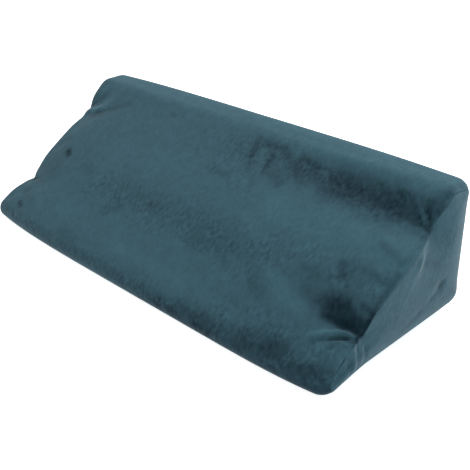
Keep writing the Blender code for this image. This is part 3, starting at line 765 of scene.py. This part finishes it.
def petrol_velvet():
    """Short-pile polyester velvet, knitted and brushed: it is dull, its pile catches the light at a
    grazing angle, and it shows every stroke of the hand as a lighter or darker patch. "tone" is how
    the pile was brushed, with painted shade in hollows and creases and painted highlights on fold
    crests, and "ruffle" is how much it was ruffled into specks."""
    material = bpy.data.materials.new("petrol velvet")
    material.use_nodes = True
    tree = material.node_tree
    shader = tree.nodes["Principled BSDF"]
    cloth = node(tree, "ShaderNodeUVMap", {"uv_map": "cloth"}).outputs["UV"]
    slanted = node(
        tree,
        "ShaderNodeMapping",
        inputs={"Rotation": (0.0, 0.0, SPECK_SLANT), "Scale": (SPECK_STRETCH, 1.0, 1.0)},
        links={"Vector": cloth},
    ).outputs["Vector"]
    # The tone holds the brushed pile and the painted shade and painted highlights.
    brushed_and_shaded = node(tree, "ShaderNodeAttribute", {"attribute_name": "tone"}).outputs["Fac"]
    ruffled = node(tree, "ShaderNodeAttribute", {"attribute_name": "ruffle"}).outputs["Fac"]
    clump = node(
        tree,
        "ShaderNodeTexNoise",
        inputs={"Scale": 1000 / CLUMP_MM, "Detail": 2.0},
        links={"Vector": cloth},
    ).outputs["Fac"]
    clump = node(
        tree,
        "ShaderNodeMapRange",
        inputs={"From Min": 0.35, "From Max": 0.65},
        links={"Value": clump},
    ).outputs["Result"]
    clumped = node(
        tree, "ShaderNodeMath", {"operation": "MULTIPLY"}, links={0: ruffled, 1: clump}
    ).outputs[0]
    speck_tone = node(
        tree,
        "ShaderNodeMath",
        {"operation": "MULTIPLY_ADD"},
        {1: RUFFLED_SPECK_TONE, 2: SPECK_TONE},
        {0: clumped},
    ).outputs[0]
    total = node(tree, "ShaderNodeMath", inputs={1: TONE_MIDDLE}, links={0: brushed_and_shaded}).outputs[0]
    heights = {}
    for name, size_mm, tone, detail, vector in (
        ("cloud", CLOUD_MM, CLOUD_TONE, 3.0, cloth),
        ("blotch", BLOTCH_MM, BLOTCH_TONE, 4.0, cloth),
        ("speck", SPECK_MM * SPECK_STRETCH, speck_tone, 3.0, slanted),
        ("pile", PILE_MM, PILE_TONE, 1.0, cloth),
    ):
        noise = node(
            tree,
            "ShaderNodeTexNoise",
            inputs={"Scale": 1000 / size_mm, "Detail": detail},
            links={"Vector": vector},
        )
        heights[name] = noise.outputs["Fac"]
        centred = node(
            tree, "ShaderNodeMath", {"operation": "SUBTRACT"}, {1: 0.5}, {0: heights[name]}
        ).outputs[0]
        inputs, links = ({}, {1: tone}) if name == "speck" else ({1: tone}, {})
        total = node(
            tree, "ShaderNodeMath", {"operation": "MULTIPLY_ADD"}, inputs, {0: centred, 2: total} | links
        ).outputs[0]
    ramp = node(tree, "ShaderNodeValToRGB", links={"Fac": total})
    while len(ramp.color_ramp.elements) < len(TONES):
        ramp.color_ramp.elements.new(0.5)
    for element, (position, colour) in zip(ramp.color_ramp.elements, TONES):
        element.position = position
        element.color = to_linear(colour)
    bump = node(
        tree,
        "ShaderNodeBump",
        inputs={"Strength": 0.3, "Distance": 0.0005},
        links={"Height": heights["pile"]},
    )
    soft = node(
        tree,
        "ShaderNodeBump",
        inputs={"Strength": 0.3, "Distance": 0.0012},
        links={"Height": heights["speck"], "Normal": bump.outputs["Normal"]},
    )
    tree.links.new(ramp.outputs["Color"], shader.inputs["Base Color"])
    tree.links.new(soft.outputs["Normal"], shader.inputs["Normal"])
    shader.inputs["Roughness"].default_value = 0.92
    shader.inputs["Specular IOR Level"].default_value = 0.15
    shader.inputs["Sheen Weight"].default_value = 0.25
    shader.inputs["Sheen Roughness"].default_value = 0.4
    shader.inputs["Sheen Tint"].default_value = to_linear("bcc6cd")
    return material


def lay_cloth(obj, u, v, tone, ruffle):
    """Gives a mesh its flat place on the cloth in metres, as a UV map, and as attributes its tone, which
    holds how its pile was brushed and the painted shade and highlights, and how it was ruffled. u, v,
    tone and ruffle are arrays, one value for each vertex."""
    corners = np.empty(len(obj.data.loops), np.int32)
    obj.data.loops.foreach_get("vertex_index", corners)
    flat = np.stack([u[corners], v[corners]], 1)
    obj.data.uv_layers.new(name="cloth").data.foreach_set("uv", flat.astype(np.float32).ravel())
    for name, values in (("tone", tone), ("ruffle", ruffle)):
        attribute = obj.data.attributes.new(name, "FLOAT", "POINT")
        attribute.data.foreach_set("value", values.astype(np.float32))


velvet = petrol_velvet()
wrap_up = np.broadcast_to(SLOPE_FOOT - around, wrap.shape[:2])
spare = len(wrap_points) - wrap_up.size
# The tone of the wrap: its brushed pile, with painted shade and painted highlights.
wrap_brush_and_shade_tone = strokes(wrap[..., 0], wrap_up, WRAP_BRUSH_AND_SHADE_STROKES, 0.0, TONE_STROKE_BLUNTNESS)
wrap_ruffle = np.clip(strokes(wrap[..., 0], wrap_up, WRAP_RUFFLES, 0.0), 0.0, 1.0)
lay_cloth(
    cushion,
    wrap_points[:, 0],
    np.concatenate([wrap_up.ravel(), wrap_points[wrap_up.size :, 2]]),
    np.concatenate([wrap_brush_and_shade_tone.ravel(), np.zeros(spare)]),
    np.concatenate([wrap_ruffle.ravel(), np.zeros(spare)]),
)
cushion.data.materials.append(velvet)
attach(cushion, "root")
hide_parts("cushion")


# The end panels. Each is a four-sided piece of the same velvet, sewn right sides together to the wrap's
# edge and turned out, so that its rim dips into the seam. The thread puckers the right one, and the folds
# and the strokes of brushed pile, painted shade and painted highlights lie on it by (y, z). Both panels
# are painted a little darker all over, as shade.
PANEL_INSETS = (0.0010, 0.0011, 0.0013, 0.0018, 0.0027)
PANEL_CURL = 0.0005
PANEL_FOLDS = {
    -1: (),
    1: table(FOLD_COLUMNS, (
        (((0.0165, 0.107), (0.0110, 0.099), (0.0060, 0.086)), 0.0020, 0.15, 0.0045),
        (((0.027, 0.103), (0.020, 0.094)), -0.0008, 0.40, 0.0060),
        (((0.067, 0.060), (0.062, 0.058)), -0.0015, 1.00, 0.0050),
        (((0.058, 0.053), (0.044, 0.047), (0.012, 0.034)), -0.0009, 0.50, 0.0050),
        (((-0.096, 0.042), (-0.094, 0.022)), 0.0012, 0.60, 0.0024),
        (((-0.091, 0.046), (-0.089, 0.024)), -0.0016, 0.60, 0.0022),
        (((-0.085, 0.050), (-0.083, 0.022)), 0.0014, 0.60, 0.0024),
        (((-0.079, 0.046), (-0.077, 0.022)), -0.0014, 0.60, 0.0022),
        (((-0.067, 0.040), (-0.066, 0.020)), -0.0014, 0.60, 0.0026),
    )),
}
# Painted shade: the tone by which both panels are darker all over.
PANEL_SHADE_TONE = -0.12
# The right panel's strokes: brushed pile, painted shade in its dent and creases, and a painted highlight
# beside its fold.
PANEL_BRUSH_AND_SHADE_STROKES = {
    -1: (),
    1: table(FOLD_COLUMNS, (
        (((0.067, 0.060), (0.063, 0.058)), -0.28, 1.00, 0.0042),
        (((0.056, 0.051), (0.046, 0.047)), -0.14, 1.00, 0.0028),
        (((0.028, 0.039), (0.012, 0.033), (0.000, 0.029)), -0.16, 1.00, 0.0035),
        (((-0.020, 0.055), (-0.022, 0.043)), -0.12, 1.00, 0.0030),
        (((0.025, 0.100), (0.050, 0.089)), -0.13, 1.00, 0.0050),
        (((0.066, 0.113), (0.074, 0.106)), -0.06, 1.00, 0.0080),
        (((0.007, 0.092), (0.001, 0.076), (-0.012, 0.058)), 0.09, 1.00, 0.0040),
        (((-0.040, 0.045), (0.050, 0.055)), -0.08, 1.00, 0.0320),
        (((0.100, 0.040), (0.040, 0.012)), -0.14, 0.60, 0.0090),
        (((-0.090, 0.022), (-0.060, 0.030)), -0.10, 0.60, 0.0100),
    )),
}


def end_panel(name, seam, end):
    """An end panel: rims that follow the seam, a patch inside them, and the same as its underside."""
    across = inward(seam)
    loops = [seam + inset * across for inset in PANEL_INSETS]
    inside = patch(loops[-1])[1:-1, 1:-1].reshape(-1, 3)
    face = np.concatenate([*loops, inside])
    insets = np.concatenate([np.repeat(PANEL_INSETS, AROUND), np.full(len(inside), PANEL_INSETS[-1])])
    into_curl = np.clip(1 - (insets - PANEL_INSETS[0]) / PANEL_CURL, 0.0, 1.0)
    curl = PANEL_CURL * (1 - np.sqrt(1 - into_curl**2))
    fold = strokes(face[:, 1], face[:, 2], PANEL_FOLDS[end])
    depth = end_depth(face, seam, end)
    under = face.copy()
    face[:, 0] = end * (LENGTH / 2 - depth - curl + fold)
    under[:, 0] = end * (LENGTH / 2 - depth - PANEL_THICKNESS + fold)
    rims = np.arange(len(loops) * AROUND).reshape(-1, AROUND)
    numbers = patch_numbers(rims[-1], rims.size)
    quads = np.concatenate([grid_quads(rims), patch_quads(numbers)[:, ::-1]])
    side = ring_quads(rims[0] + len(face), rims[0])
    quads = np.concatenate([quads, quads[:, ::-1] + len(face), side])
    if end < 0:
        quads = quads[:, ::-1]
    return add_mesh(name, np.concatenate([face, under]) + seat, quads.tolist()), face


for side, end, row in (("left", -1, 0), ("right", 1, -1)):
    seam = wrap[row]
    panel, face = end_panel(f"velvet_end_{side}", seam, end)
    flat = np.concatenate([face, face])
    # The panels' tone: brushed pile, painted shade and painted highlights, darker all over as shade.
    brushed_and_shaded = strokes(flat[:, 1], flat[:, 2], PANEL_BRUSH_AND_SHADE_STROKES[end], 0.0, TONE_STROKE_BLUNTNESS)
    lay_cloth(panel, flat[:, 1], flat[:, 2], PANEL_SHADE_TONE + brushed_and_shaded, np.zeros(len(flat)))
    panel.data.materials.append(velvet)
    rounding = panel.modifiers.new("rounding", "SUBSURF")
    rounding.levels = 1
    rounding.render_levels = 1
    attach(panel, "root")
    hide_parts(f"end_panel_{side}")


# The floor and the light: a plain white sweep under a large soft light, as a product is photographed.
FLOOR_SIZE = 8.0
floor = add_mesh(
    "floor",
    FLOOR_SIZE / 2 * np.array([(-1, -1, 0), (1, -1, 0), (1, 1, 0), (-1, 1, 0)], float),
    [(0, 1, 2, 3)],
)
floor_material = bpy.data.materials.new("white paper")
floor_material.use_nodes = True
floor_shader = floor_material.node_tree.nodes["Principled BSDF"]
floor_shader.inputs["Base Color"].default_value = to_linear("f4f4f4")
floor_shader.inputs["Roughness"].default_value = 1.0
floor_shader.inputs["Emission Color"].default_value = to_linear("ffffff")
floor_shader.inputs["Emission Strength"].default_value = 0.85
floor.data.materials.append(floor_material)

LIGHTS = table(("name", "place", "size", "power"), (
    ("key", (0.40, 1.2, 1.5), 1.0, 34.0),
    ("fill", (-1.2, -0.6, 1.8), 1.6, 9.0),
))
for light in LIGHTS:
    data = bpy.data.lights.new(light["name"], "AREA")
    data.shape = "DISK"
    data.size = light["size"]
    data.energy = light["power"]
    lamp = bpy.data.objects.new(light["name"], data)
    azimuth = math.atan2(light["place"][0], -light["place"][1])
    elevation = math.atan2(light["place"][2], math.hypot(*light["place"][:2]))
    matrix = np.eye(4)
    matrix[:3, :3] = camera_axes(azimuth, elevation, 0.0)
    matrix[:3, 3] = light["place"]
    lamp.matrix_world = Matrix(matrix)
    bpy.context.scene.collection.objects.link(lamp)

world = bpy.data.worlds.new("studio")
world.use_nodes = True
world.node_tree.nodes["Background"].inputs["Color"].default_value = to_linear("ffffff")
world.node_tree.nodes["Background"].inputs["Strength"].default_value = 0.36
bpy.context.scene.world = world
bpy.context.scene.view_settings.view_transform = "Standard"
